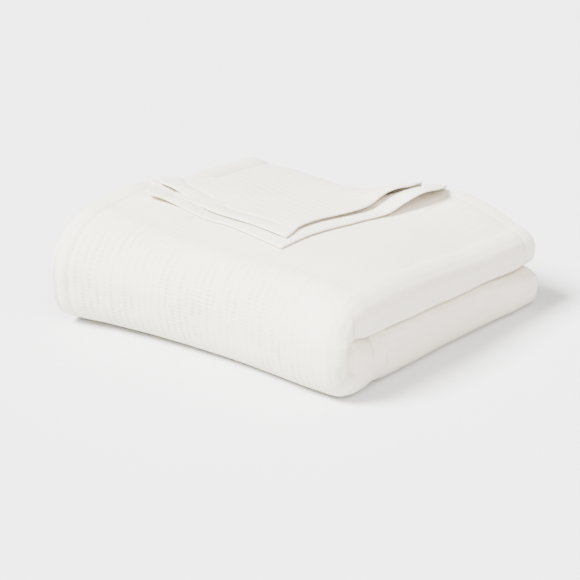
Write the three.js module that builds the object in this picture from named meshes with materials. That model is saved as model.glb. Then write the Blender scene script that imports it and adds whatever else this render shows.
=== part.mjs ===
import * as THREE from 'three';

// A white matelasse blanket, folded to a soft square stack. Millimetres, Z up.
// X runs along the front wrap, from the hems on the left to the folds on the right.
// Y runs from the front wrap to the back. The stack lies on Z = 0, centred on X and Y,
// a few millimetres from the X and Y of the tables here.
//
// The cloth is one sheet. It is folded in half across its width, pleated in three along
// its length, folded in half again at the right, and last folded in half at the front.
// That gives two halves, upper and lower, of six layers out and six layers back each.

// Cloth
const CLOTH = 2.2;
const HEM_CLOTH = 3;
const HEM_WIDTH = 20;
const STITCH_CLOTH = 1.7;
const STITCH_WIDTH = 3;
const RIB_HEIGHT = 0.35;
const RIBS_ACROSS_TOP = 36;
const RIBS_AROUND_FOLD = 7;

// Layers: six out and six back in each half, the first one on the outside. Their hems
// come and go by twice the stagger, in waves that a layer steps through in radians.
const LAYERS = 6;
const CORE_GAP = 2.8;
const LAYER_PITCH = 4.6;
const HEM_STAGGER = 2;
const STAGGER_STEP = 2.4;
const FOLD_DEPTH = 26;

// Roundness of the turns: 2 is an ellipse, more is boxier
const CREASE_ROUNDNESS = 4.5;
const SHOULDER_ROUNDNESS = 1.8;
const FOOT_ROUNDNESS = 2.6;
const WRAP_UPPER_ROUNDNESS = 2;
const WRAP_LOWER_ROUNDNESS = 3.4;

// Heights from front to back: top face at the hems and in the middle, how much it has
// fallen where the right-hand folds begin, and the crease between the two halves
const HEIGHTS = [
  { y: -120, hems: 127, middle: 116, fall: 9, crease: 70 },
  { y: -64, hems: 133, middle: 120, fall: 11, crease: 68 },
  { y: 0, hems: 121, middle: 119, fall: 15, crease: 64 },
  { y: 100, hems: 120, middle: 116, fall: 19, crease: 57 },
  { y: 200, hems: 122, middle: 115, fall: 16, crease: 48 },
];
const HEM_RISE_WIDTH = 145;
const FALL_START = 100;
const FALL_WIDTH = 75;

// Front and back from left to right: foremost point of the wrap, the end hems on top,
// the pleats under them, and the back of the lower half
const ENDS = [
  { x: -205, nose: -187, hems: 184, pleats: 173, lower: 178 },
  { x: -142, nose: -171, hems: 190, pleats: 175, lower: 183 },
  { x: -70, nose: -160, hems: 197, pleats: 178, lower: 188 },
  { x: 28, nose: -155, hems: 204, pleats: 188, lower: 194 },
  { x: 150, nose: -158, hems: 207, pleats: 197, lower: 199 },
];

// Where the layers start to turn around the front
const TURN_START = -105;

// Sides from front to back: the hems on the left, the two folds on the right
const SIDES = [
  { y: -150, hems: -205, upper: 182, lower: 183 },
  { y: 0, hems: -199, upper: 191, lower: 195 },
  { y: 200, hems: -199, upper: 202, lower: 213 },
];

// The corner of the two top layers, turned back over the stack: plan places of the two
// ends of its ridge and of its tip, the height at which it lies over the top layer, and
// how much more it stands up at the ends of its ridge
const FLAPS = {
  outer: {
    layer: 1, ridgeLeft: [-198, -24], ridgeRight: [72, 206], tip: [46, -75],
    height: 4.7, ribs: 5, lift: { left: 7, right: 1.5 },
  },
  inner: {
    layer: 2, ridgeLeft: [-198, -2], ridgeRight: [54, 205], tip: [33, -61],
    height: 9.4, ribs: 27, lift: { left: 7, right: 1.5 },
  },
};
// Shares of the ridge over which its left end rises, and its right end
const LEFT_RISE = { from: 0.3, to: 0 };
const RIGHT_RISE = { from: 0.55, to: 0.95 };
// How far from its ridge a turned corner has come down, and its shortest straight run
const FLAP_SETTLE = 220;
const LEAST_RUN = 5;

// Steps of the cloth around its turns, and between them as shares of a run
const RIDGE_STEPS = 4;
const WRAP_STEPS = 6;
const FOLD_STEPS = 5;
const SEAM_STEPS = 2;
const PLEAT_STEPS = 3;
const ACROSS_STEPS = [0.19, 0.4, 0.7];
const UPPER_STEPS = [0.2, 0.4];
const FRONT_STEP = 0.85;
const INNER_STEPS = [0.35, 0.62];
const CORNER_STEPS = [0.4, 0.75];
const LOWER_STEP = 2.5;

const lerp = (from, to, t) => from + (to - from) * t;
const clamp01 = (t) => Math.min(1, Math.max(0, t));
const smooth = (from, to, at) => {
  const t = clamp01((at - from) / (to - from));
  return t * t * (3 - 2 * t);
};
const spread = (count, from, to) => (
  Array.from({ length: count + 1 }, (_, n) => lerp(from, to, n / count))
);

// Smooth curve through one column of a table
function column(rows, key, name, at) {
  const last = rows.length - 1;
  if (at <= rows[0][key]) return rows[0][name];
  if (at >= rows[last][key]) return rows[last][name];
  const i = rows.findIndex((row, n) => at < rows[n + 1][key]);
  const slope = (n) => {
    if (n === 0 || n === last) return 0;
    return (rows[n + 1][name] - rows[n - 1][name]) / (rows[n + 1][key] - rows[n - 1][key]);
  };
  const span = rows[i + 1][key] - rows[i][key];
  const t = (at - rows[i][key]) / span;
  const bend = (1 - t) * slope(i) * (1 - t) * t - (1 - t) * slope(i + 1) * t * t;
  return lerp(rows[i][name], rows[i + 1][name], t * t * (3 - 2 * t)) + bend * span;
}

const height = (name, y) => column(HEIGHTS, 'y', name, y);
const end = (name, x) => column(ENDS, 'x', name, x);
const side = (name, y) => column(SIDES, 'y', name, y);

// Height of the top face of the whole stack
function topFace(x, y) {
  const rise = smooth(SIDES[0].hems + HEM_RISE_WIDTH, SIDES[0].hems, x);
  const fall = height('fall', y) * (Math.max(0, x - FALL_START) / FALL_WIDTH) ** 2;
  return lerp(height('middle', y), height('hems', y), rise) - fall;
}

// How far a layer lies from the middle of its half, from 0 to 0.5 on the outside
const outness = (layer) => 0.5 * (LAYERS + 1 - layer) / LAYERS;

// Height of a place in the upper half, depth 1 at the top face and 0 at the crease
function upperHeight(depth, x, y) {
  const crease = height('crease', y);
  const room = topFace(x, y) - CLOTH / 2 - crease - CORE_GAP;
  return crease + CORE_GAP + depth * room;
}

const rounded = (value, roundness) => (
  Math.sign(value) * Math.abs(value) ** (2 / roundness)
);

// A point of the cloth. across: 0 to 1 from the hems over the top of the half, 1 to 2
// around its fold, 2 to 3 back below. along: 0 to 1 in the upper half from back to
// front, 1 to 2 around the front wrap, 2 to 3 in the lower half from front to back.
// past and out reach beyond the back and the hem side.
function place({ layer, across, along, past = 0, out = 0, onTop = false }) {
  const turnAngle = clamp01(along - 1) * Math.PI;
  const foldAngle = (0.5 - clamp01(across - 1)) * Math.PI;
  const half = outness(layer);
  const run = across <= 1 ? across : Math.min(1, 3 - across);
  const upperShare = (1 + Math.cos(turnAngle)) / 2;
  const outerRoundness = lerp(FOOT_ROUNDNESS, SHOULDER_ROUNDNESS, upperShare);
  const foldRoundness = foldAngle < 0 ? CREASE_ROUNDNESS : outerRoundness;
  const depth = 0.5 + half * rounded(Math.sin(foldAngle), foldRoundness);
  const reach = rounded(Math.max(0, Math.cos(foldAngle)), foldRoundness);

  const backName = along > 1.5 ? 'lower' : (onTop ? 'hems' : 'pleats');
  const runAlong = along <= 1 ? along : (along >= 2 ? 3 - along : 1);
  const roughX = lerp(SIDES[0].hems, SIDES[0].upper, run);
  const roughY = lerp(end(backName, roughX), TURN_START, runAlong);
  const outermost = lerp(side('lower', roughY), side('upper', roughY), upperShare);
  const foldStart = outermost - FOLD_DEPTH;
  const stagger = HEM_STAGGER * (1 - Math.cos(STAGGER_STEP * (layer - 1)));
  const hem = side('hems', roughY) + stagger - out;
  const runX = lerp(hem, foldStart, run);
  const x = runX + 2 * half * FOLD_DEPTH * reach;

  const runY = lerp(end(backName, x) + past, TURN_START, runAlong);
  if (along <= 1) return new THREE.Vector3(x, runY, upperHeight(depth, runX, runY));
  const crease = height('crease', runY);
  const lowerRoom = CORE_GAP + depth * (crease - CLOTH / 2 - CORE_GAP);
  if (along >= 2) return new THREE.Vector3(x, runY, crease - lowerRoom);

  const upper = turnAngle < Math.PI / 2;
  const roundness = upper ? WRAP_UPPER_ROUNDNESS : WRAP_LOWER_ROUNDNESS;
  const frontRoom = CORE_GAP + depth * (TURN_START - end('nose', x) - CLOTH / 2 - CORE_GAP);
  const y = TURN_START - frontRoom * rounded(Math.sin(turnAngle), roundness);
  const room = upper ? upperHeight(depth, runX, TURN_START) - crease : lowerRoom;
  return new THREE.Vector3(x, y, crease + room * rounded(Math.cos(turnAngle), roundness));
}

// The cloth's middle surface: points, their thickness, and triangles between rows
const points = [];
const thickness = [];
const triangles = [];
const known = new Map();

function node(point, cloth, at) {
  const key = point.toArray().map((v) => Math.round(v * 200)).join(' ');
  if (!known.has(key)) {
    known.set(key, points.length);
    points.push(point);
    thickness.push(cloth);
  }
  return { id: known.get(key), at };
}

function triangle(a, b, c) {
  if (a !== b && b !== c && c !== a) triangles.push([a, b, c]);
}

const apart = (a, b) => points[a.id].distanceTo(points[b.id]);

// Triangles between two rows of nodes, each in rising order of at. A square is split
// along its shorter diagonal.
function zip(first, second) {
  let i = 0;
  let j = 0;
  while (i < first.length - 1 || j < second.length - 1) {
    const nextFirst = i < first.length - 1 ? first[i + 1].at : Infinity;
    const nextSecond = j < second.length - 1 ? second[j + 1].at : Infinity;
    const level = nextFirst === nextSecond;
    const rising = level && apart(first[i], second[j + 1]) < apart(first[i + 1], second[j]);
    if (nextFirst < nextSecond || (level && !rising)) {
      triangle(first[i].id, second[j].id, first[i + 1].id);
      i += 1;
    } else {
      triangle(first[i].id, second[j].id, second[j + 1].id);
      j += 1;
    }
  }
}

// Thickness of the cloth at a distance from its hemmed edge
function clothAt(fromEdge) {
  if (fromEdge < HEM_WIDTH + 0.01) return HEM_CLOTH;
  return fromEdge < HEM_WIDTH + STITCH_WIDTH ? STITCH_CLOTH : CLOTH;
}

const TOP_RUN = SIDES[0].upper - FOLD_DEPTH - SIDES[0].hems;
const END_RUN = ENDS[2].hems - TURN_START;
const HEM_STEPS = [0, HEM_WIDTH, HEM_WIDTH + STITCH_WIDTH / 2, HEM_WIDTH + STITCH_WIDTH];
const hemSteps = HEM_STEPS.map((mm) => mm / TOP_RUN);
const ribStart = hemSteps[3];
const underAcross = [...ACROSS_STEPS].reverse().concat(0).map((across) => 3 - across);
const plainAcross = [0, hemSteps[1], ...ACROSS_STEPS, ...spread(FOLD_STEPS, 1, 2), ...underAcross];

// Steps across a ribbed stretch, every second one on a ridge
function ribSteps(count, from, to) {
  return spread(2 * count, from, to).slice(1).map((across, n) => ({ across, ridge: n % 2 === 0 }));
}
const ribsOnTop = ribSteps(RIBS_ACROSS_TOP, ribStart, 1);
const ribsAroundFold = ribSteps(RIBS_AROUND_FOLD, 1, 2);

// Across steps of the outermost layer: ribbed where it shows, plain where it lies under
function outerSteps(along) {
  const hem = hemSteps.map((across) => ({ across }));
  const under = underAcross.map((across) => ({ across }));
  const plainTop = plainAcross.filter((across) => across > ribStart && across <= 1);
  const top = along < 2 ? ribsOnTop : plainTop.map((across) => ({ across }));
  return [...hem, ...top, ...ribsAroundFold, ...under];
}

// Where the ridge of a turned-back corner crosses a row of its layer
function ridgeCrossing(flap, along) {
  const [x0, y0] = flap.ridgeLeft;
  const [x1, y1] = flap.ridgeRight;
  const beyond = (across) => {
    const p = place({ layer: flap.layer, across, along, onTop: true });
    return (x1 - x0) * (p.y - y0) - (y1 - y0) * (p.x - x0);
  };
  if (beyond(0) <= 0) return 0;
  let near = 0;
  let far = 1;
  for (let n = 0; n < 40; n += 1) {
    const middle = (near + far) / 2;
    if (beyond(middle) > 0) near = middle;
    else far = middle;
  }
  return far;
}

// Where along the stack the ridge of a turned-back corner meets the hem side
function ridgeStart(flap) {
  let near = 0;
  let far = 1;
  for (let n = 0; n < 40; n += 1) {
    const middle = (near + far) / 2;
    if (ridgeCrossing(flap, middle) > 0) near = middle;
    else far = middle;
  }
  return far;
}

const SEAM = 3;
const SAME = 1e-4;
const ridges = { outer: [], inner: [] };
const ridgeStarts = { outer: ridgeStart(FLAPS.outer), inner: ridgeStart(FLAPS.inner) };

// One row across the doubled sheet: its outer side, the fold that joins the two, and its
// inner side
function sheetRow({ outer, inner, along, past = [0, 0], first = false }) {
  const row = [];
  const push = (spot, cloth, at) => row.push(node(place(spot), cloth, at));
  const cuts = first && along <= 1
    ? [ridgeCrossing(FLAPS.outer, along), ridgeCrossing(FLAPS.inner, along)]
    : [0, 0];
  const common = { along, onTop: first };

  const outerRow = first ? outerSteps(along) : plainAcross.map((across) => ({ across }));
  const kept = outerRow.filter((step) => step.across > cuts[0] + SAME);
  for (const { across, ridge } of [{ across: cuts[0] }, ...kept]) {
    const ribbed = first && ridge !== undefined;
    const raise = ribbed ? (ridge ? RIB_HEIGHT : -RIB_HEIGHT) / LAYER_PITCH : 0;
    const cloth = first ? clothAt(Math.min(across * TOP_RUN, along * END_RUN)) : CLOTH;
    push({ ...common, layer: outer - raise, across, past: past[0] }, cloth, across);
  }
  for (let n = 1; n < SEAM_STEPS; n += 1) {
    const angle = Math.PI * n / SEAM_STEPS;
    const share = (1 - Math.cos(angle)) / 2;
    const out = 0.5 * LAYER_PITCH * Math.sin(angle);
    const layer = lerp(outer, inner, share);
    push({ ...common, layer, across: 3, past: lerp(past[0], past[1], share), out },
      CLOTH, SEAM + n / SEAM_STEPS);
  }
  const back = [...plainAcross].reverse().filter((across) => across > cuts[1] + SAME);
  for (const across of [...back, cuts[1]]) {
    const cloth = first ? clothAt(Math.min(across * TOP_RUN, along * END_RUN)) : CLOTH;
    push({ ...common, layer: inner, across, past: past[1] }, cloth, 2 * SEAM + 1 - across);
  }
  if (first && along <= ridgeStarts.outer) ridges.outer.push(row[0]);
  if (first && along <= ridgeStarts.inner) ridges.inner.push(row[row.length - 1]);
  return row;
}

// Rows where the doubled sheet turns from one pleat into the next, at the back
function pleatRows(from, to, along) {
  return spread(PLEAT_STEPS, 0, Math.PI).slice(1, -1).map((angle) => {
    const share = (1 - Math.cos(angle)) / 2;
    const swing = 0.5 * LAYER_PITCH * Math.sin(angle);
    return sheetRow({
      outer: lerp(from[0], to[0], share),
      inner: lerp(from[1], to[1], share),
      along,
      past: [swing * Math.abs(to[0] - from[0]), swing * Math.abs(to[1] - from[1])],
    });
  });
}

// The three pleats of the doubled sheet, from the end hems on top to the last one inside
const endHem = [0, HEM_WIDTH / END_RUN, (HEM_WIDTH + STITCH_WIDTH) / END_RUN];
const wrapAndLower = [...spread(WRAP_STEPS, 1, 2), LOWER_STEP, 3];
const topAlong = [...endHem, ...UPPER_STEPS, ridgeStarts.inner, ridgeStarts.outer, FRONT_STEP,
  ...wrapAndLower];
const innerAlong = [0, ...INNER_STEPS, ...wrapAndLower];
const sheet = [
  ...topAlong.map((along) => sheetRow({ outer: 1, inner: 2, along, first: true })),
  ...pleatRows([1, 2], [4, 3], 3),
  ...[...innerAlong].reverse().map((along) => sheetRow({ outer: 4, inner: 3, along })),
  ...pleatRows([4, 3], [5, 6], 0),
  ...innerAlong.map((along) => sheetRow({ outer: 5, inner: 6, along })),
];
sheet.slice(1).forEach((row, n) => zip(sheet[n], row));

// A corner turned back over the stack: from the ridge, around a bend and down to the tip
function turnedCorner(flap, ridge, flip) {
  const inOrder = [...ridge].sort((a, b) => points[a.id].x - points[b.id].x);
  const plan = (point) => new THREE.Vector2(point.x, point.y);
  const left = plan(points[inOrder[0].id]);
  const right = plan(points[inOrder[inOrder.length - 1].id]);
  const tip = new THREE.Vector2(...flap.tip);
  const ridgeLine = right.clone().sub(left);
  const outward = new THREE.Vector2(-ridgeLine.y, ridgeLine.x).normalize();
  const ribLine = tip.clone().sub(left);

  const base = (t, straight) => (
    left.clone().addScaledVector(ridgeLine, t).addScaledVector(ribLine, straight)
  );
  const share = (point) => plan(point).sub(left).dot(ridgeLine) / ridgeLine.lengthSq();
  const foot = inOrder.map(({ id }) => ({ id, at: share(points[id]) }));
  const lift = (t) => (
    flap.lift.left * smooth(LEFT_RISE.from, LEFT_RISE.to, t)
    + flap.lift.right * smooth(RIGHT_RISE.from, RIGHT_RISE.to, t)
  );
  const alongRidge = (value) => (t) => {
    const n = foot.findIndex(({ at }, i) => i > 0 && (at >= t || i === foot.length - 1));
    const [from, to] = [foot[n - 1], foot[n]];
    return lerp(value(from), value(to), (t - from.at) / (to.at - from.at));
  };
  const low = alongRidge(({ id }) => points[id].z);
  const radius = alongRidge(({ id, at }) => (
    (upperHeight(1, ...base(at, 0)) + flap.height + lift(at) - points[id].z) / 2
  ));
  const rise = (t) => low(t) + 2 * radius(t) - upperHeight(1, ...base(t, 0));
  const bend = (t) => Math.PI * radius(t);
  const ribLength = ribLine.length();
  ribLine.normalize();
  const endHemLength = tip.distanceTo(right);
  const length = (t) => bend(t) + (1 - t) * ribLength;

  const spot = (t, travel, raise) => {
    const angle = Math.min(Math.PI, travel / radius(t));
    const straight = Math.max(0, travel - bend(t));
    const under = base(t, straight);
    const over = under.clone().addScaledVector(outward, radius(t) * Math.sin(angle));
    const z = straight > 0
      ? upperHeight(1, ...under) + lerp(rise(t), flap.height, smooth(0, FLAP_SETTLE, straight))
      : low(t) + radius(t) * (1 - Math.cos(angle));
    return new THREE.Vector3(over.x, over.y, z + raise);
  };

  const hemShare = HEM_WIDTH / endHemLength;
  const stitchShare = (HEM_WIDTH + STITCH_WIDTH) / endHemLength;
  const steps = [0, hemShare, (hemShare + stitchShare) / 2, stitchShare,
    ...spread(2 * flap.ribs, stitchShare, 1).slice(1)];
  const ring = (travelAt) => steps.map((t, n) => {
    const travel = Math.min(length(t), travelAt(t));
    const ribbed = n > 3 && flap === FLAPS.inner && travel > bend(t);
    const raise = ribbed ? (n % 2 ? -RIB_HEIGHT : RIB_HEIGHT) : 0;
    const fromEdge = Math.min(length(t) - travel, t * endHemLength);
    return node(spot(t, travel, raise), clothAt(fromEdge), t);
  });
  const beforeHem = (t, short) => {
    const travel = length(t) - short;
    return travel > bend(t) + LEAST_RUN ? travel : bend(t);
  };
  const stitched = HEM_WIDTH + STITCH_WIDTH;
  const rows = [
    foot,
    ...spread(RIDGE_STEPS, 0, 1).slice(1).map((part) => ring((t) => part * bend(t))),
    ...CORNER_STEPS.map((part) => ring((t) => lerp(bend(t), beforeHem(t, stitched), part))),
    ...[stitched, HEM_WIDTH + STITCH_WIDTH / 2, HEM_WIDTH, 0]
      .map((short) => ring((t) => beforeHem(t, short))),
  ];
  rows.slice(1).forEach((row, n) => (flip ? zip(row, rows[n]) : zip(rows[n], row)));
}

turnedCorner(FLAPS.outer, ridges.outer, true);
turnedCorner(FLAPS.inner, ridges.inner, false);

// The solid: both faces of the cloth and a wall along its free edges, centred
function thicken() {
  const normals = points.map(() => new THREE.Vector3());
  const edges = new Map();
  for (const [a, b, c] of triangles) {
    const ab = points[b].clone().sub(points[a]);
    const ac = points[c].clone().sub(points[a]);
    const normal = ab.cross(ac);
    for (const id of [a, b, c]) normals[id].add(normal);
    for (const [from, to] of [[a, b], [b, c], [c, a]]) edges.set(`${from} ${to}`, [from, to]);
  }
  const count = points.length;
  const position = new Float32Array(count * 6);
  points.forEach((point, id) => {
    const half = normals[id].normalize().multiplyScalar(thickness[id] / 2);
    const front = point.clone().add(half);
    const back = point.clone().sub(half);
    front.z = Math.max(0, front.z);
    back.z = Math.max(0, back.z);
    front.toArray(position, id * 3);
    back.toArray(position, (count + id) * 3);
  });
  const index = [];
  for (const [a, b, c] of triangles) index.push(a, b, c, count + a, count + c, count + b);
  for (const [from, to] of edges.values()) {
    if (edges.has(`${to} ${from}`)) continue;
    index.push(from, count + from, count + to, from, count + to, to);
  }
  const geometry = new THREE.BufferGeometry();
  geometry.setAttribute('position', new THREE.BufferAttribute(position, 3));
  geometry.setIndex(index);
  geometry.computeBoundingBox();
  const middle = geometry.boundingBox.getCenter(new THREE.Vector3());
  geometry.translate(-middle.x, -middle.y, 0);
  geometry.computeVertexNormals();
  return geometry;
}

const cotton = new THREE.MeshStandardMaterial({ color: 0xefebe4, roughness: 0.95, metalness: 0 });
const blanket = new THREE.Mesh(thicken(), cotton);
blanket.name = 'blanket';

const group = new THREE.Group();
group.add(blanket);
export default group;
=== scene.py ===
import math

import bmesh
import bpy
from mathutils import Matrix, Vector, noise


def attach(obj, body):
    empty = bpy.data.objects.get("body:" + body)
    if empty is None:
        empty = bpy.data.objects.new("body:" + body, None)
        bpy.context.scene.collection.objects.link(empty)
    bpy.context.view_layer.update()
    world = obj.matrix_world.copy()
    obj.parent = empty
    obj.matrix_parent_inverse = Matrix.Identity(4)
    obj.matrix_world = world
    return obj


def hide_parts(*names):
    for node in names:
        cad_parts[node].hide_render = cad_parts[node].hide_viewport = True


# A white matelasse blanket, folded to a soft square stack with one corner turned back.
# The folding is worked out in millimetres, as the solid's is, and ends up in metres.
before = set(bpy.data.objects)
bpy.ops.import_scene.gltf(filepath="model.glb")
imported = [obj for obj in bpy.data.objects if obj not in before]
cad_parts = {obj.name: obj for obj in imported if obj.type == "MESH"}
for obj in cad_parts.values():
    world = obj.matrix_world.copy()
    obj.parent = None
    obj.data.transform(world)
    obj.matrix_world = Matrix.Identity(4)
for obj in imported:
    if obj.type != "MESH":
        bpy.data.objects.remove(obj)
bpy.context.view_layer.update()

# MIDDLE is where the folding has the middle of the solid's box, which is the part's origin.
MM = 0.001
MIDDLE = Vector((3.622, 12.555, 0.0))

# The flat cloth: across is from side hem to side hem, down is from end hem to end hem.
# It is folded in half across, so each side of the doubled sheet is half as wide.
CLOTH_ACROSS = 1676.0
CLOTH_DOWN = 2286.0
HALF_ACROSS = CLOTH_ACROSS / 2
TOP_RUN = 366.0
FOLD_RUN = 80.0
SEAM_RUN = 20.0
UNDER_RUN = HALF_ACROSS - TOP_RUN - FOLD_RUN - SEAM_RUN / 2

# Three pleats down the cloth, with a bend between one and the next
PLEATS = 3
BEND_RUN = 20.0
PLEAT_DOWN = (CLOTH_DOWN - (PLEATS - 1) * BEND_RUN) / PLEATS
UPPER_DOWN = 300.0
WRAP_DOWN = 180.0
LOWER_DOWN = PLEAT_DOWN - UPPER_DOWN - WRAP_DOWN

# Thickness of the cloth, of its hems, and of their stitch lines and rounded edges
CLOTH = 2.2
HEM_CLOTH = 3.0
STITCH_CLOTH = 1.5
HEM_WIDTH = 20.0
STITCH_WIDTH = 3.0
EDGE_ROUNDING = 2.4
EDGE_THINNING = 0.35

# The groove beside the hems, and the share of it beside the end hem outside the turned corner
GROOVE_DEEP = 1.0
GROOVE_WIDTH = 3.2
END_GROOVE = 0.3

# Ribs down the cloth and bars across it, and the share of the ribs left inside the hems
RIBS_ACROSS = 180
RIB_PITCH = CLOTH_ACROSS / RIBS_ACROSS
BARS_DOWN = 500
BAR_PITCH = CLOTH_DOWN / BARS_DOWN
RIB_SWELL = 0.12
RIB_LIFT = 0.07
HEM_RIB_SWELL = 0.5
HEM_RIB_LIFT = 0.3

# Layers of each half, from the outside in, and how far apart they lie
LAYERS = 6
OUTER_LAYERS = (1, 4, 5)
INNER_LAYERS = (2, 3, 6)
CORE_GAP = 1.8
LAYER_PITCH = 4.6
HEM_STAGGER = 2.0
STAGGER_STEP = 2.4
FOLD_DEPTH = 26.0

# Roundness of the turns: 2 is an ellipse, more is boxier
SHOULDER_ROUNDNESS = 1.8
FOOT_ROUNDNESS = 2.3
WRAP_UPPER_ROUNDNESS = 2.0
WRAP_LOWER_ROUNDNESS = 3.2

# Usual size of the turns, along which the cloth is spread evenly
FOLD_TALL = 21
WRAP_OUT = 50
WRAP_TALL_UPPER = 48
WRAP_TALL_LOWER = 64

# Heights from front to back: top face at the hems and in the middle, how much it has
# fallen where the right-hand folds begin, and the crease between the two halves
HEIGHTS = (
    {"y": -120, "hems": 130.5, "middle": 116, "fall": 9, "crease": 63},
    {"y": -64, "hems": 137, "middle": 120, "fall": 11, "crease": 64},
    {"y": 0, "hems": 131, "middle": 119, "fall": 15, "crease": 62},
    {"y": 50, "hems": 135, "middle": 117, "fall": 17, "crease": 59.5},
    {"y": 100, "hems": 131, "middle": 115, "fall": 19, "crease": 57},
    {"y": 200, "hems": 125, "middle": 112, "fall": 19, "crease": 48},
)
HEM_RISE_WIDTH = 145.0
FALL_START = 100.0
FALL_WIDTH = 75.0

# Front and back from left to right
ENDS = (
    {"x": -205, "nose": -190, "hems": 184, "pleats": 173, "lower": 178},
    {"x": -142, "nose": -175, "hems": 190, "pleats": 175, "lower": 183},
    {"x": -70, "nose": -163, "hems": 197, "pleats": 178, "lower": 188},
    {"x": 28, "nose": -156, "hems": 204, "pleats": 188, "lower": 194},
    {"x": 150, "nose": -161, "hems": 207, "pleats": 197, "lower": 199},
)
TURN_START = -105.0

# Sides from front to back: the hems on the left, the two folds on the right
SIDES = (
    {"y": -150, "hems": -203, "upper": 181, "lower": 182, "crispness": 9},
    {"y": -105, "hems": -202, "upper": 183, "lower": 184.5, "crispness": 9},
    {"y": 0, "hems": -200, "upper": 190, "lower": 191, "crispness": 9},
    {"y": 120, "hems": -202, "upper": 195, "lower": 200, "crispness": 7},
    {"y": 200, "hems": -202, "upper": 197, "lower": 208, "crispness": 3.4},
)

# The turned-back corner of the two top layers, as seen from above: where its ridge starts
# and ends, where its tip lies, and how high over the stack it lies.
FLAPS = {
    "outer": {"layer": 1, "left": (-198, -24), "right": (72, 206), "tip": (46, -75), "height": 3.2},
    "inner": {"layer": 2, "left": (-198, -8), "right": (38, 204), "tip": (33, -61), "height": 6.4},
}

# Its hems bow out and lift along their length. Share is from the ridge to the tip on the
# left, and from the tip to the ridge on the right.
LEFT_EDGES = {
    "outer": (
        {"share": 0.0, "bow": 0, "rise": -2},
        {"share": 0.09, "bow": 6, "rise": -1},
        {"share": 0.16, "bow": 25, "rise": 4},
        {"share": 0.22, "bow": 36, "rise": 7},
        {"share": 0.28, "bow": 28, "rise": 6},
        {"share": 0.36, "bow": 17, "rise": 1},
        {"share": 0.5, "bow": 11, "rise": 0},
        {"share": 0.65, "bow": 2, "rise": 0},
        {"share": 1.0, "bow": 0, "rise": 0},
    ),
    "inner": (
        {"share": 0.0, "bow": 0, "rise": -2},
        {"share": 0.1, "bow": 8, "rise": -2},
        {"share": 0.2, "bow": 22, "rise": -1.5},
        {"share": 0.35, "bow": 15, "rise": 0},
        {"share": 0.5, "bow": 12, "rise": 0},
        {"share": 0.65, "bow": 5, "rise": 0},
        {"share": 0.8, "bow": 0, "rise": 0},
        {"share": 1.0, "bow": -2, "rise": 0},
    ),
}
RIGHT_EDGES = {
    "outer": (
        {"share": 0.0, "bow": 0, "rise": 0},
        {"share": 0.2, "bow": -2, "rise": 0.4},
        {"share": 0.45, "bow": 5, "rise": 0.4},
        {"share": 0.58, "bow": 13, "rise": 2},
        {"share": 0.67, "bow": 16, "rise": 9},
        {"share": 0.77, "bow": 21, "rise": 16},
        {"share": 0.86, "bow": 23, "rise": 13},
        {"share": 0.93, "bow": 15, "rise": 7},
        {"share": 1.0, "bow": 4, "rise": 2},
    ),
    "inner": (
        {"share": 0.0, "bow": 0, "rise": 0.5},
        {"share": 0.15, "bow": -7, "rise": 1.5},
        {"share": 0.3, "bow": -4, "rise": 1.5},
        {"share": 0.5, "bow": 11, "rise": 3.5},
        {"share": 0.7, "bow": 9, "rise": 4},
        {"share": 0.85, "bow": 12, "rise": 0},
        {"share": 1.0, "bow": 3, "rise": 0},
    ),
}

# How far into the corner a hem's shape is felt, and how much of the outer hem's lift the
# inner layer takes on
BOW_REACH = 0.45
RISE_REACH = 0.22
PASSED_ON = 0.5

# Slow unevenness of the stack, which leaves its foot flat on the ground. Without a seed of
# its own the noise would follow the clock.
UNEVENNESS_SEED = 1
UNEVENNESS = 1.6
UNEVENNESS_SIZE = 85
FINE_UNEVENNESS = 0.5
FINE_UNEVENNESS_SIZE = 34
FOOT_HEIGHT = 25

# Creases pressed in. Each runs between two points of the stack and pushes the cloth one way, deepest
# on its line, with a width on each side of it.
CREASES = (
    # The pocket at the front right corner
    {"from": (190, -98, 61.5), "to": (190, -137, 66), "push": (-1, 0, 0),
     "deep": 12, "wide": (2, 5), "reach": 45},
    {"from": (190, -138, 66), "to": (190, -142, 50), "push": (-1, 0, 0),
     "deep": 12, "wide": (1.1, 14), "reach": 45},
    {"from": (190, -133, 63), "to": (190, -137, 56), "push": (-1, 0, 0),
     "deep": 14, "wide": (4, 4), "reach": 45},
    {"from": (190, -150, 66), "to": (190, -153, 50), "push": (1, 0, 0),
     "deep": 4, "wide": (5, 6), "reach": 45},
    {"from": (190, -143, 46), "to": (190, -134, 33), "push": (-1, 0, 0),
     "deep": 6, "wide": (1.6, 4), "reach": 45},
    # Beside the side hem at the front left
    {"from": (-193, -190, 100), "to": (-197, -190, 25), "push": (0, 1, 0),
     "deep": 2.5, "wide": (2, 2), "reach": 40},
    # The top towards the back: a dip, a rise and a dip beside the side hem
    {"from": (0, 230, 112), "to": (0, 180, 112), "push": (0, 0, -1),
     "deep": 9.5, "wide": (32, 24), "reach": 70},
    {"from": (95, 225, 112), "to": (95, 185, 112), "push": (0, 0, 1),
     "deep": 7, "wide": (34, 44), "reach": 70},
    {"from": (-172, 40, 122), "to": (-172, 200, 122), "push": (0, 0, -1),
     "deep": 5, "wide": (14, 8), "reach": 30},
)

# Steps of the mesh: the coarse ones of every layer, and how each is split where it shows
RIB_STEPS = 4
SHOWN_COLUMNS = 24
SHOWN_ACROSS = SHOWN_COLUMNS * 2 * RIB_PITCH
UNDER_STEPS = 10
SEAM_STEPS = 6
UPPER_STEPS = 12
WRAP_STEPS = 8
LOWER_STEPS = 12
BEND_STEPS = 6
DOWN_SPLITS = 5
POCKET = {"across": (370, 440), "down": (335, 460), "splits": (2, 3)}
RIDGE_STEP = 2.5
RIDGE_LINES = 9

# No line of the mesh is split into steps shorter than this
FINEST = 1.1
SAME = 0.01

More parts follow.
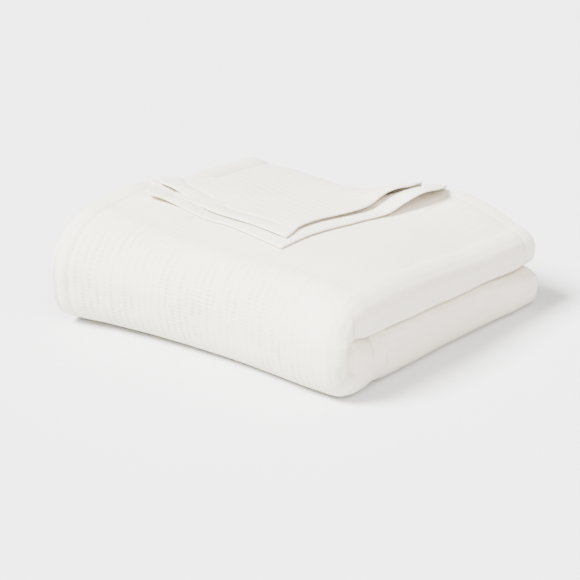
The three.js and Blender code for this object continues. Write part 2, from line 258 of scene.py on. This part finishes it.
# The look of the cloth, in millimetres
STITCH_PITCH = 4.2
THREAD_EDGE = 1.0
THREAD_CORE = 0.4
RIB_DRIFT = 1.2
BUMP_DEEP = 0.9
# CREAM is the cloth's own colour; the darker cream paints the shade that falls in the rib valleys and
# between the bars, and also carries the yarn grain and patchy tone.
CREAM = (0.75, 0.702, 0.60, 1)
GRAIN_AND_SHADE_CREAM = (0.54, 0.48, 0.38, 1)

# Where the weave's relief and its painted valley shade deepen and grow smoother, in metres of the flat
# cloth
DEEPENS_DOWN = (0.27, 0.40)
SMOOTHER_DOWN = (0.46, 0.50)
SMOOTHER_ACROSS = (0.33, 0.37)


def lerp(start, end, t):
    return start + (end - start) * t


def clamp01(t):
    return min(1.0, max(0.0, t))


def smooth(start, end, at):
    t = clamp01((at - start) / (end - start))
    return t * t * (3 - 2 * t)


def spread(count, start, end):
    return [lerp(start, end, n / count) for n in range(count + 1)]


def column(rows, key, name, at):
    """Smooth curve through one column of a table."""
    last = len(rows) - 1
    if at <= rows[0][key]:
        return rows[0][name]
    if at >= rows[last][key]:
        return rows[last][name]
    i = next(n for n in range(last) if at < rows[n + 1][key])

    def slope(n):
        if n in (0, last):
            return 0.0
        return (rows[n + 1][name] - rows[n - 1][name]) / (rows[n + 1][key] - rows[n - 1][key])

    span = rows[i + 1][key] - rows[i][key]
    t = (at - rows[i][key]) / span
    bend = (1 - t) * slope(i) * (1 - t) * t - (1 - t) * slope(i + 1) * t * t
    return lerp(rows[i][name], rows[i + 1][name], t * t * (3 - 2 * t)) + bend * span


def height(name, y):
    return column(HEIGHTS, "y", name, y)


def end(name, x):
    return column(ENDS, "x", name, x)


def side(name, y):
    return column(SIDES, "y", name, y)


def rounded(value, roundness):
    return math.copysign(abs(value) ** (2 / roundness), value)


def even_turn(width, quarters, steps=600):
    """Angles at even lengths around a half turn. Each quarter is its height and roundness."""
    points = []
    for n in range(steps + 1):
        angle = math.pi * n / steps
        tall, roundness = quarters[0] if n <= steps / 2 else quarters[1]
        out = width * rounded(math.sin(angle), roundness)
        points.append((out, tall * rounded(math.cos(angle), roundness)))
    lengths = [0.0]
    for (x0, z0), (x1, z1) in zip(points, points[1:]):
        lengths.append(lengths[-1] + math.hypot(x1 - x0, z1 - z0))
    return [length / lengths[-1] for length in lengths]


def turned(shares, share):
    """The angle, in half turns, at a share of a turn's length."""
    share = clamp01(share)
    low = 0
    high = len(shares) - 1
    while high - low > 1:
        middle = (low + high) // 2
        if shares[middle] <= share:
            low = middle
        else:
            high = middle
    t = (share - shares[low]) / max(1e-9, shares[high] - shares[low])
    return (low + t) / (len(shares) - 1)


FOLD_TURN = even_turn(
    FOLD_DEPTH, ((FOLD_TALL, SHOULDER_ROUNDNESS), (FOLD_TALL, SIDES[0]["crispness"])))
WRAP_TURN = even_turn(
    WRAP_OUT, ((WRAP_TALL_UPPER, WRAP_UPPER_ROUNDNESS), (WRAP_TALL_LOWER, WRAP_LOWER_ROUNDNESS)))


def top_face(x, y):
    rise = smooth(SIDES[0]["hems"] + HEM_RISE_WIDTH, SIDES[0]["hems"], x)
    fall = height("fall", y) * (max(0.0, x - FALL_START) / FALL_WIDTH) ** 2
    return lerp(height("middle", y), height("hems", y), rise) - fall


def outness(layer):
    return 0.5 * (LAYERS + 1 - layer) / LAYERS


def upper_height(depth, x, y):
    crease = height("crease", y)
    room = top_face(x, y) - CLOTH / 2 - crease - CORE_GAP
    return crease + CORE_GAP + depth * room


def place(layer, across, along, past=0.0, out=0.0, on_top=False):
    """A point of the folded cloth, as the solid has it. across is 0 to 1 from the hems over
    the top of a half, 1 to 2 around its fold and 2 to 3 back below. along is 0 to 1 in the
    upper half from back to front, 1 to 2 around the front and 2 to 3 in the lower half."""
    turn = clamp01(along - 1) * math.pi
    fold = (0.5 - clamp01(across - 1)) * math.pi
    half = outness(layer)
    run = across if across <= 1 else min(1.0, 3 - across)
    upper_share = (1 + math.cos(turn)) / 2
    outer_roundness = lerp(FOOT_ROUNDNESS, SHOULDER_ROUNDNESS, upper_share)

    back = "lower" if along > 1.5 else ("hems" if on_top else "pleats")
    run_along = along if along <= 1 else (3 - along if along >= 2 else 1.0)
    rough_x = lerp(SIDES[0]["hems"], SIDES[0]["upper"], run)
    rough_y = lerp(end(back, rough_x), TURN_START, run_along)
    fold_roundness = side("crispness", rough_y) if fold < 0 else outer_roundness
    depth = 0.5 + half * rounded(math.sin(fold), fold_roundness)
    reach = rounded(max(0.0, math.cos(fold)), fold_roundness)
    outermost = lerp(side("lower", rough_y), side("upper", rough_y), upper_share)
    fold_start = outermost - FOLD_DEPTH
    stagger = HEM_STAGGER * (1 - math.cos(STAGGER_STEP * (layer - 1)))
    hem = side("hems", rough_y) + stagger - out
    run_x = lerp(hem, fold_start, run)
    x = run_x + 2 * half * FOLD_DEPTH * reach

    run_y = lerp(end(back, x) + past, TURN_START, run_along)
    if along <= 1:
        return Vector((x, run_y, upper_height(depth, run_x, run_y)))
    crease = height("crease", run_y)
    lower_room = CORE_GAP + depth * (crease - CLOTH / 2 - CORE_GAP)
    if along >= 2:
        return Vector((x, run_y, crease - lower_room))

    upper = turn < math.pi / 2
    roundness = WRAP_UPPER_ROUNDNESS if upper else WRAP_LOWER_ROUNDNESS
    front_room = CORE_GAP + depth * (TURN_START - end("nose", x) - CLOTH / 2 - CORE_GAP)
    y = TURN_START - front_room * rounded(math.sin(turn), roundness)
    room = upper_height(depth, run_x, TURN_START) - crease if upper else lower_room
    return Vector((x, y, crease + room * rounded(math.cos(turn), roundness)))


def across_of(u):
    """Across, from 0 to 3, at a distance from a side hem to the fold down the middle."""
    if u <= TOP_RUN:
        return u / TOP_RUN
    if u <= TOP_RUN + FOLD_RUN:
        return 1 + turned(FOLD_TURN, (u - TOP_RUN) / FOLD_RUN)
    return min(3.0, 2 + (u - TOP_RUN - FOLD_RUN) / UNDER_RUN)


def along_of(v):
    """Along, from 0 to 3, at a distance down one pleat from its back in the upper half."""
    if v <= UPPER_DOWN:
        return v / UPPER_DOWN
    if v <= UPPER_DOWN + WRAP_DOWN:
        return 1 + turned(WRAP_TURN, (v - UPPER_DOWN) / WRAP_DOWN)
    return min(3.0, 2 + (v - UPPER_DOWN - WRAP_DOWN) / LOWER_DOWN)


def layers_at(v):
    """The layers of the outer and the inner side, how far both reach past the back, and
    along, at a distance down the cloth."""
    for pleat in range(PLEATS):
        start = pleat * (PLEAT_DOWN + BEND_RUN)
        if v <= start + PLEAT_DOWN + SAME:
            down = v - start if pleat % 2 == 0 else start + PLEAT_DOWN - v
            return (OUTER_LAYERS[pleat], INNER_LAYERS[pleat]), (0.0, 0.0), along_of(max(0.0, down))
        if v < start + PLEAT_DOWN + BEND_RUN:
            angle = math.pi * (v - start - PLEAT_DOWN) / BEND_RUN
            share = (1 - math.cos(angle)) / 2
            swing = 0.5 * LAYER_PITCH * math.sin(angle)
            pairs = ((OUTER_LAYERS[pleat], OUTER_LAYERS[pleat + 1]),
                     (INNER_LAYERS[pleat], INNER_LAYERS[pleat + 1]))
            layers = tuple(lerp(a, b, share) for a, b in pairs)
            past = tuple(swing * abs(b - a) for a, b in pairs)
            return layers, past, 3.0 if pleat % 2 == 0 else 0.0


def folded(u, v):
    """Where a point of the flat cloth lies in the stack, before its corner is turned back."""
    layers, past, along = layers_at(v)
    on_top = v <= PLEAT_DOWN
    from_seam = abs(u - HALF_ACROSS)
    if from_seam < SEAM_RUN / 2:
        angle = math.pi * (0.5 + (u - HALF_ACROSS) / SEAM_RUN)
        share = (1 - math.cos(angle)) / 2
        out = 0.5 * LAYER_PITCH * math.sin(angle) * abs(layers[1] - layers[0])
        return place(lerp(*layers, share), 3.0, along, lerp(*past, share), out, on_top)
    inner = u > HALF_ACROSS
    across = across_of(CLOTH_ACROSS - u if inner else u)
    return place(layers[inner], across, along, past[inner], 0.0, on_top)


def found(test):
    """The share, from 0 to 1, at which a test stops holding."""
    low = 0.0
    high = 1.0
    for _ in range(40):
        middle = (low + high) / 2
        if test(middle):
            low = middle
        else:
            high = middle
    return high


def fit_ridge(flap):
    """Where the ridge of a turned corner meets the side hem and the end hem, flat."""
    x0, y0 = flap["left"]
    x1, y1 = flap["right"]

    def beyond(across, along):
        p = place(flap["layer"], across, along, on_top=True)
        return (x1 - x0) * (p.y - y0) - (y1 - y0) * (p.x - x0) > 0

    flap["ridge_u"] = TOP_RUN * found(lambda across: beyond(across, 0.0))
    flap["ridge_v"] = UPPER_DOWN * found(lambda along: beyond(0.0, along))


def over_ridge(flap, u, v):
    """How much of the way from the ridge to the corner a flat point lies, or below 0."""
    return 1 - u / flap["ridge_u"] - v / flap["ridge_v"]


def fading(share, reach=BOW_REACH):
    """How much of an edge's shape is left at a share of the way into the flap."""
    return 1 - smooth(0, reach, share)


def turned_back(name, u, v):
    """A flat point of the corner, turned around the ridge and laid over the stack. u and v
    are its distances from the side hem and from the end hem."""
    flap = FLAPS[name]
    t = min(u / flap["ridge_u"], 0.9999)
    foot = place(flap["layer"], across_of(u), along_of(flap["ridge_v"] * (1 - t)), on_top=True)
    left = Vector(flap["left"])
    ridge = (Vector(flap["right"]) - left).normalized()
    outward = Vector((-ridge.y, ridge.x))
    rib = Vector(flap["tip"]) - left
    left_out = Vector((rib.y, -rib.x)).normalized()
    right_out = Vector((1.0, 0.0))

    beyond = over_ridge(flap, u, v)
    inward = 1 - t - max(0.0, beyond)
    lift = 0.0
    down = max(0.0, beyond) if beyond < 1 - t else 1 - t
    for edges in ((name,) if name == "outer" else ("outer", name)):
        lift += fading(t) * column(LEFT_EDGES[edges], "share", "rise", down)
        felt = 1.0 if edges == name else PASSED_ON
        lift += felt * fading(inward, RISE_REACH) * column(RIGHT_EDGES[edges], "share", "rise", t)
    bow = left_out * fading(t) * column(LEFT_EDGES[name], "share", "bow", down)
    bow += right_out * fading(inward) * column(RIGHT_EDGES[name], "share", "bow", t)

    radius = (upper_height(1, foot.x, foot.y) + flap["height"] - foot.z) / 2
    bend = math.pi * radius
    travel = beyond * (bend / (1 - t) + rib.length)
    angle = min(math.pi, travel / radius)
    straight = max(0.0, travel - bend)
    turned_over = (1 - math.cos(angle)) / 2
    under = Vector((foot.x, foot.y)) + rib.normalized() * straight
    over = under + outward * radius * math.sin(angle) + bow * turned_over
    if straight > 0:
        z = upper_height(1, under.x, under.y) + flap["height"]
    else:
        z = foot.z + radius * (1 - math.cos(angle))
    return Vector((over.x, over.y, z + lift * turned_over))


def laid(u, v):
    """Where a point of the flat cloth lies in the finished stack."""
    for name, from_hem in (("outer", u), ("inner", CLOTH_ACROSS - u)):
        if over_ridge(FLAPS[name], from_hem, v) > 1e-6:
            return turned_back(name, from_hem, v)
    return folded(u, v)


def trough(p, crease):
    """How far a point is pushed by a soft crease from the list."""
    start = Vector(crease["from"])
    push = Vector(crease["push"]).normalized()
    line = Vector(crease["to"]) - start
    line -= push * line.dot(push)
    away = p - start
    inward = away.dot(push)
    away -= push * inward
    share = clamp01(away.dot(line) / line.length_squared)
    distance = (away - line * share).length
    left = push.dot(line.cross(away)) > 0
    wide = crease["wide"][0] if left else crease["wide"][1]
    fade = 1 - smooth(0, crease["reach"], abs(inward))
    return push * crease["deep"] * math.exp(-0.5 * (distance / wide) ** 2) * fade


def eased(p):
    """A point of the stack, with the slow unevenness and the creases of soft cloth."""
    swell = noise.noise_vector(p / UNEVENNESS_SIZE) * UNEVENNESS
    swell = swell + noise.noise_vector(p / FINE_UNEVENNESS_SIZE) * FINE_UNEVENNESS
    settled = smooth(0, FOOT_HEIGHT, p.z)
    moved = p + Vector((swell.x, swell.y, swell.z * settled))
    for crease in CREASES:
        moved += trough(p, crease)
    return moved


def flat_columns():
    """Distances from the side hem at which the coarse mesh has its columns."""
    one = spread(SHOWN_COLUMNS, 0, SHOWN_ACROSS)
    one += spread(UNDER_STEPS, SHOWN_ACROSS, HALF_ACROSS - SEAM_RUN / 2)[1:]
    seam = spread(SEAM_STEPS, HALF_ACROSS - SEAM_RUN / 2, HALF_ACROSS + SEAM_RUN / 2)[1:-1]
    return one + seam + [CLOTH_ACROSS - u for u in reversed(one)]


def flat_rows():
    """Distances from the end hem at which the coarse mesh has its rows."""
    down = spread(UPPER_STEPS, 0, UPPER_DOWN)
    down += spread(WRAP_STEPS, UPPER_DOWN, UPPER_DOWN + WRAP_DOWN)[1:]
    down += spread(LOWER_STEPS, UPPER_DOWN + WRAP_DOWN, PLEAT_DOWN)[1:]
    rows = []
    for pleat in range(PLEATS):
        start = pleat * (PLEAT_DOWN + BEND_RUN)
        steps = down if pleat % 2 == 0 else [PLEAT_DOWN - v for v in reversed(down)]
        if pleat:
            rows += spread(BEND_STEPS, start - BEND_RUN, start)[1:-1]
        rows += [start + v for v in steps]
    return rows


def refine(bm, across, down, axis, splits):
    """Splits the mesh lines that run along one axis inside a rectangle of the flat cloth,
    apart from those that a neighbouring rectangle has split already."""
    other = 1 - axis
    low = (across[0] - SAME, down[0] - SAME)
    high = (across[1] + SAME, down[1] + SAME)
    edges = []
    for edge in bm.edges:
        a, b = (vert.co for vert in edge.verts)
        if abs(a[other] - b[other]) > SAME or abs(a[axis] - b[axis]) < splits * FINEST:
            continue
        if all(low[n] <= p[n] <= high[n] for p in (a, b) for n in (0, 1)):
            edges.append(edge)
    bmesh.ops.subdivide_edges(bm, edges=edges, cuts=splits - 1, use_grid_fill=True)


def score(bm, point, normal, near=None):
    """Adds a straight mesh line across the flat cloth."""
    faces = bm.faces if near is None else [f for f in bm.faces if near(f.calc_center_median())]
    parts = {part for face in faces for part in (face, *face.edges, *face.verts)}
    bmesh.ops.bisect_plane(
        bm, geom=list(parts), dist=SAME, plane_co=(*point, 0), plane_no=(*normal, 0))


def flat_cloth():
    """The flat cloth as a mesh, fine where the folded stack shows it."""
    columns = flat_columns()
    rows = flat_rows()
    bm = bmesh.new()
    bmesh.ops.create_grid(
        bm, x_segments=len(columns) - 1, y_segments=len(rows) - 1, size=0.5)
    for vert in bm.verts:
        i = round((vert.co.x + 0.5) * (len(columns) - 1))
        j = round((vert.co.y + 0.5) * (len(rows) - 1))
        vert.co = (columns[i], rows[j], 0)

    wide = SHOWN_ACROSS / SHOWN_COLUMNS
    tall = UPPER_DOWN / UPPER_STEPS
    shown_down = UPPER_DOWN + WRAP_DOWN
    fold = wide * (math.floor(TOP_RUN / wide) - 1)
    corner = wide * math.ceil(FLAPS["inner"]["ridge_u"] / wide)
    corner_down = tall * math.ceil(FLAPS["inner"]["ridge_v"] / tall)
    for across, down in (((0, SHOWN_ACROSS), (0, shown_down)),
                         ((fold, SHOWN_ACROSS), (shown_down, PLEAT_DOWN)),
                         ((CLOTH_ACROSS - corner, CLOTH_ACROSS), (0, corner_down))):
        refine(bm, across, down, 0, 2 * RIB_STEPS)
        refine(bm, across, down, 1, DOWN_SPLITS)
    for axis in (0, 1):
        refine(bm, POCKET["across"], POCKET["down"], axis, POCKET["splits"][axis])
    return bm


def score_hems(bm):
    """Mesh lines along the edges, hems and stitching on all four sides."""
    from_edge = (EDGE_ROUNDING / 3, EDGE_ROUNDING, HEM_WIDTH, HEM_WIDTH + STITCH_WIDTH / 2,
                 HEM_WIDTH + STITCH_WIDTH)
    for distance in from_edge:
        for at in (distance, CLOTH_ACROSS - distance):
            score(bm, (at, 0), (1, 0))
        for at in (distance, CLOTH_DOWN - distance):
            score(bm, (0, at), (0, 1))


def score_ridges(bm):
    """Mesh lines along the ridges of the turned corner, close enough to round them."""
    for name, mirror in (("outer", False), ("inner", True)):
        flap = FLAPS[name]
        span = math.hypot(flap["ridge_u"], flap["ridge_v"])
        normal = Vector((flap["ridge_v"], flap["ridge_u"])) / span
        for n in range(RIDGE_LINES + 1):
            point = Vector((flap["ridge_u"], 0)) - normal * RIDGE_STEP * n
            across = CLOTH_ACROSS - point.x if mirror else point.x
            slant = Vector((-normal.x, normal.y)) if mirror else normal

            def near(p, mirror=mirror):
                return p.y < UPPER_DOWN and (p.x > CLOTH_ACROSS - TOP_RUN if mirror else p.x < TOP_RUN)

            score(bm, (across, point.y), slant, near)


def rib_at(u):
    """1 on the crest of a rib and -1 between two, at a distance from the left side hem."""
    return math.cos(2 * math.pi * u / RIB_PITCH)


def cloth_at(u, v):
    """Thickness of the cloth at a point of the flat cloth."""
    from_edge = min(u, CLOTH_ACROSS - u, v, CLOTH_DOWN - v)
    rib = RIB_SWELL * rib_at(u)
    if from_edge < HEM_WIDTH:
        plump = HEM_CLOTH + HEM_RIB_SWELL * rib
        return plump * lerp(EDGE_THINNING, 1, math.sqrt(clamp01(from_edge / EDGE_ROUNDING)))
    if from_edge < HEM_WIDTH + STITCH_WIDTH:
        off = abs(from_edge - HEM_WIDTH - STITCH_WIDTH / 2)
        return lerp(STITCH_CLOTH, CLOTH, off * 2 / STITCH_WIDTH)
    return CLOTH + rib


def lift_at(u, v):
    """How far the cloth bulges along its ribs, and sinks along its stitching."""
    from_edge = min(u, CLOTH_ACROSS - u, v, CLOTH_DOWN - v)
    off = (from_edge - HEM_WIDTH - STITCH_WIDTH / 2) / GROOVE_WIDTH
    groove = GROOVE_DEEP * math.exp(-0.5 * off * off)
    turned_in = over_ridge(FLAPS["inner"], CLOTH_ACROSS - u, v) > 0
    if over_ridge(FLAPS["outer"], u, v) > 0:
        groove = -groove
    elif v == from_edge and not turned_in:
        groove *= END_GROOVE
    ribbed = HEM_RIB_LIFT if from_edge < HEM_WIDTH + STITCH_WIDTH else 1.0
    return ribbed * RIB_LIFT * rib_at(u) - groove


def lay_up(bm, uv_layer, weights, group):
    """Moves every point of the flat cloth to its place in the stack."""
    thickest = HEM_CLOTH + RIB_SWELL
    for face in bm.faces:
        face.smooth = True
        for loop in face.loops:
            loop[uv_layer].uv = (loop.vert.co.x * MM, loop.vert.co.y * MM)
    lifts = []
    sizes = []
    for vert in bm.verts:
        u, v = vert.co.x, vert.co.y
        cloth = cloth_at(u, v)
        vert[weights][group] = min(1.0, cloth / thickest)
        sizes.append(cloth)
        lifts.append(lift_at(u, v))
        vert.co = eased(laid(u, v)) - MIDDLE
    bm.normal_update()
    up = max(bm.faces, key=lambda face: face.calc_center_median().z).normal.z > 0
    if not up:
        bmesh.ops.reverse_faces(bm, faces=bm.faces)
        bm.normal_update()
    moves = [vert.normal * lift for vert, lift in zip(bm.verts, lifts)]
    for vert, move, cloth in zip(bm.verts, moves, sizes):
        vert.co += move
        vert.co.z = max(vert.co.z, cloth / 2)
        vert.co *= MM
    return thickest


def finished_mesh(bm, name):
    mesh = bpy.data.meshes.new(name)
    bm.to_mesh(mesh)
    bm.free()
    return mesh


def in_scene(name, data):
    """A new object at the origin."""
    thing = bpy.data.objects.new(name, data)
    bpy.context.scene.collection.objects.link(thing)
    return thing


def blanket():
    noise.seed_set(UNEVENNESS_SEED)
    for flap in FLAPS.values():
        fit_ridge(flap)
    bm = flat_cloth()
    score_hems(bm)
    score_ridges(bm)
    uv_layer = bm.loops.layers.uv.new("cloth")
    weights = bm.verts.layers.deform.new()
    thickest = lay_up(bm, uv_layer, weights, 0)
    piece = in_scene("blanket_cloth", finished_mesh(bm, "blanket_cloth"))
    piece.vertex_groups.new(name="thickness")
    thicken = piece.modifiers.new("thickness", "SOLIDIFY")
    thicken.thickness = thickest * MM
    thicken.offset = 0
    thicken.vertex_group = "thickness"
    return piece


def add(tree, kind, inputs=None, **settings):
    """A shader node with its settings, and its inputs as values or as what feeds them."""
    node = tree.nodes.new(kind)
    for name, value in settings.items():
        setattr(node, name, value)
    for socket, value in (inputs or {}).items():
        if isinstance(value, bpy.types.NodeSocket):
            tree.links.new(value, node.inputs[socket])
        else:
            node.inputs[socket].default_value = value
    return node


def figure(tree, operation, a, b=0.0, c=0.0):
    return add(tree, "ShaderNodeMath", {0: a, 1: b, 2: c}, operation=operation).outputs[0]


def wave(tree, at, pitch):
    """1 on the crests of an even wave and 0 between them."""
    turns = figure(tree, "MULTIPLY", at, 2 * math.pi / (pitch * MM))
    return figure(tree, "MULTIPLY_ADD", figure(tree, "COSINE", turns), 0.5, 0.5)


def band(tree, at, start, end):
    """0 below one value and 1 above another, softly."""
    node = add(tree, "ShaderNodeMapRange", {"Value": at, "From Min": start, "From Max": end},
               interpolation_type="SMOOTHSTEP")
    return node.outputs["Result"]


def from_edges(tree, across, down):
    """Distance of a point of the flat cloth from its nearest edge."""
    u = figure(tree, "MINIMUM", across, figure(tree, "SUBTRACT", CLOTH_ACROSS * MM, across))
    v = figure(tree, "MINIMUM", down, figure(tree, "SUBTRACT", CLOTH_DOWN * MM, down))
    return u, v, figure(tree, "MINIMUM", u, v)


def stitches(tree, u, v, from_edge):
    """1 on the thread of the stitch line beside a hem."""
    middle = (HEM_WIDTH + STITCH_WIDTH / 2) * MM
    off = figure(tree, "ABSOLUTE", figure(tree, "SUBTRACT", from_edge, middle))
    thread = band(tree, off, THREAD_EDGE * MM, THREAD_CORE * MM)
    beside_end = figure(tree, "LESS_THAN", v, u)
    along = add(tree, "ShaderNodeMix", {"Factor": beside_end, "A": v, "B": u}).outputs["Result"]
    dash = band(tree, wave(tree, along, STITCH_PITCH), 0.12, 0.35)
    return figure(tree, "MULTIPLY", thread, dash)


def strength(tree, across, down, patches):
    """How strongly the weave's relief and its painted valley shade show: in patches, more down the
    front than on the top, and less where the front turns under and where the cloth turns down on the
    right."""
    # Stronger down the front than on the top, for the relief and for the painted valley shade, which
    # makes the lower front darker in colour.
    stronger_down_front = figure(tree, "MULTIPLY_ADD", band(tree, down, *DEEPENS_DOWN), 0.72, 0.28)
    smoother = figure(
        tree, "MAXIMUM", band(tree, down, *SMOOTHER_DOWN), band(tree, across, *SMOOTHER_ACROSS))
    smoother = figure(tree, "MULTIPLY_ADD", smoother, -0.65, 1.0)
    stronger_down_front = figure(tree, "MULTIPLY", stronger_down_front, smoother)
    patchy = figure(tree, "MULTIPLY_ADD", band(tree, patches, 0.36, 0.6), 0.75, 0.25)
    return figure(tree, "MULTIPLY", patchy, stronger_down_front)


def weave():
    """The ribs, cross bars, hems and stitching of the cloth, from its flat coordinates, with shade
    painted into the colour in the rib valleys and between the bars.
    """
    group = bpy.data.node_groups.new("matelasse weave and painted shade", "ShaderNodeTree")
    group.interface.new_socket("Color", in_out="OUTPUT", socket_type="NodeSocketColor")
    group.interface.new_socket("Height", in_out="OUTPUT", socket_type="NodeSocketFloat")
    group.interface.new_socket("Roughness", in_out="OUTPUT", socket_type="NodeSocketFloat")
    flat = add(group, "ShaderNodeUVMap", uv_map="cloth").outputs["UV"]
    drift = add(group, "ShaderNodeTexNoise", {"Vector": flat, "Scale": 28.0, "Detail": 1.0})
    shift = figure(
        group, "MULTIPLY_ADD", drift.outputs["Fac"], 2 * RIB_DRIFT * MM, -RIB_DRIFT * MM)
    parts = add(group, "ShaderNodeSeparateXYZ", {"Vector": flat})
    across, down = parts.outputs["X"], parts.outputs["Y"]
    u, v, from_edge = from_edges(group, across, down)

    rib = wave(group, figure(group, "ADD", across, shift), RIB_PITCH)
    bar = wave(group, figure(group, "ADD", down, shift), BAR_PITCH)
    patches = add(group, "ShaderNodeTexNoise", {"Vector": flat, "Scale": 13.0, "Detail": 2.0})
    strong = strength(group, u, down, patches.outputs["Fac"])
    slow_down = figure(group, "MULTIPLY", down, 0.3)
    along_ribs = add(group, "ShaderNodeCombineXYZ", {"X": across, "Y": slow_down}).outputs[0]
    breaks = add(group, "ShaderNodeTexNoise", {"Vector": along_ribs, "Scale": 120.0, "Detail": 1.0})
    kept = figure(group, "MULTIPLY_ADD", band(group, breaks.outputs["Fac"], 0.40, 0.58), 0.8, 0.2)
    kept = figure(group, "MULTIPLY", strong, kept)
    valley = figure(group, "POWER", figure(group, "SUBTRACT", 1.0, rib), 2.5)
    dashes = figure(group, "MULTIPLY_ADD", figure(group, "SUBTRACT", 1.0, bar), 0.65, 0.35)
    valley = figure(group, "MULTIPLY", figure(group, "MULTIPLY", valley, dashes), kept)
    gap = figure(group, "POWER", figure(group, "SUBTRACT", 1.0, bar), 2.0)
    gap = figure(group, "MULTIPLY", gap, band(group, rib, 0.15, 0.6))
    gap = figure(group, "MULTIPLY", figure(group, "MULTIPLY", gap, kept), 0.45)
    body = band(group, from_edge, (HEM_WIDTH - 1) * MM, (HEM_WIDTH + STITCH_WIDTH + 1) * MM)
    in_hem = figure(group, "MULTIPLY_ADD", body, 0.75, 0.25)
    valley = figure(group, "MULTIPLY", valley, in_hem)
    gap = figure(group, "MULTIPLY", gap, in_hem)
    yarn = add(group, "ShaderNodeTexNoise", {"Vector": flat, "Scale": 620.0, "Detail": 2.0})
    thread = stitches(group, u, v, from_edge)

    raised = figure(group, "MULTIPLY_ADD", valley, -1.2, 1.0)
    raised = figure(group, "MULTIPLY_ADD", gap, -0.55, raised)
    raised = figure(group, "MULTIPLY_ADD", yarn.outputs["Fac"], 0.25, raised)
    raised = figure(group, "MULTIPLY_ADD", thread, 0.5, raised)

    # Painted shade: the colour darkens in the rib valleys and between the bars, where shade falls;
    # yarn grain and patches add the cloth's own uneven tone.
    painted_shade_and_grain = figure(group, "MULTIPLY_ADD", valley, 0.6, figure(group, "MULTIPLY", gap, 0.5))
    painted_shade_and_grain = figure(group, "MULTIPLY_ADD", yarn.outputs["Fac"], 0.16, painted_shade_and_grain)
    painted_shade_and_grain = figure(group, "MULTIPLY_ADD", patches.outputs["Fac"], 0.12, painted_shade_and_grain)
    colour = add(group, "ShaderNodeMix", {"Factor": painted_shade_and_grain, 6: CREAM, 7: GRAIN_AND_SHADE_CREAM},
                 data_type="RGBA").outputs[2]
    rough = figure(group, "MULTIPLY_ADD", painted_shade_and_grain, 0.1, 0.85)
    result = add(group, "NodeGroupOutput", {"Color": colour, "Height": raised, "Roughness": rough})
    result.is_active_output = True
    return group


def matelasse():
    material = bpy.data.materials.new("ribbed cotton")
    material.use_nodes = True
    tree = material.node_tree
    surface = tree.nodes["Principled BSDF"]
    cloth = tree.nodes.new("ShaderNodeGroup")
    cloth.node_tree = weave()
    relief = {"Strength": 1.0, "Distance": BUMP_DEEP * MM, "Height": cloth.outputs["Height"]}
    bump = add(tree, "ShaderNodeBump", relief)
    tree.links.new(cloth.outputs["Color"], surface.inputs["Base Color"])
    tree.links.new(cloth.outputs["Roughness"], surface.inputs["Roughness"])
    tree.links.new(bump.outputs["Normal"], surface.inputs["Normal"])
    surface.inputs["Specular IOR Level"].default_value = 0.2
    surface.inputs["Sheen Weight"].default_value = 0.15
    surface.inputs["Sheen Roughness"].default_value = 0.6
    return material


def camera():
    azimuth = math.radians(38)
    elevation = math.radians(23)
    distance = 1.7
    target = Vector((0.01438, -0.04255, 0.050))
    image_width = 580
    focal_pixels = 1500
    back = Vector((
        math.sin(azimuth) * math.cos(elevation),
        -math.cos(azimuth) * math.cos(elevation),
        math.sin(elevation)))
    right = Vector((math.cos(azimuth), math.sin(azimuth), 0))
    turn = Matrix((right, back.cross(right), back)).transposed().to_4x4()
    data = bpy.data.cameras.new("camera")
    data.sensor_width = 36
    data.lens = data.sensor_width * focal_pixels / image_width
    seen_from = in_scene("camera", data)
    seen_from.matrix_world = Matrix.Translation(target + back * distance) @ turn
    bpy.context.scene.camera = seen_from


def floor():
    half_width = 15
    bm = bmesh.new()
    bmesh.ops.create_grid(bm, x_segments=1, y_segments=1, size=half_width)
    piece = in_scene("floor", finished_mesh(bm, "floor"))
    material = bpy.data.materials.new("pale floor")
    material.use_nodes = True
    surface = material.node_tree.nodes["Principled BSDF"]
    surface.inputs["Base Color"].default_value = (0.70, 0.709, 0.714, 1)
    surface.inputs["Roughness"].default_value = 1.0
    piece.data.materials.append(material)


def soft_box(name, energy, angle, towards, colour=(1, 1, 1)):
    data = bpy.data.lights.new(name, "SUN")
    data.energy = energy
    data.color = colour
    data.angle = math.radians(angle)
    lamp = in_scene(name, data)
    lamp.rotation_euler = Vector(towards).to_track_quat("Z", "Y").to_euler()


def lights():
    world = bpy.data.worlds.new("studio")
    world.use_nodes = True
    world.node_tree.nodes["Background"].inputs["Color"].default_value = (1, 1, 1, 1)
    world.node_tree.nodes["Background"].inputs["Strength"].default_value = 0.1
    bpy.context.scene.world = world
    soft_box("left soft box", 21.0, 25, (-0.384, -0.548, 0.743))
    soft_box("right soft box", 7.0, 60, (0.62, -0.35, 0.70), (1.0, 0.94, 0.91))


piece = blanket()
piece.data.materials.append(matelasse())
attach(piece, "root")
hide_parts("blanket")
camera()
floor()
lights()
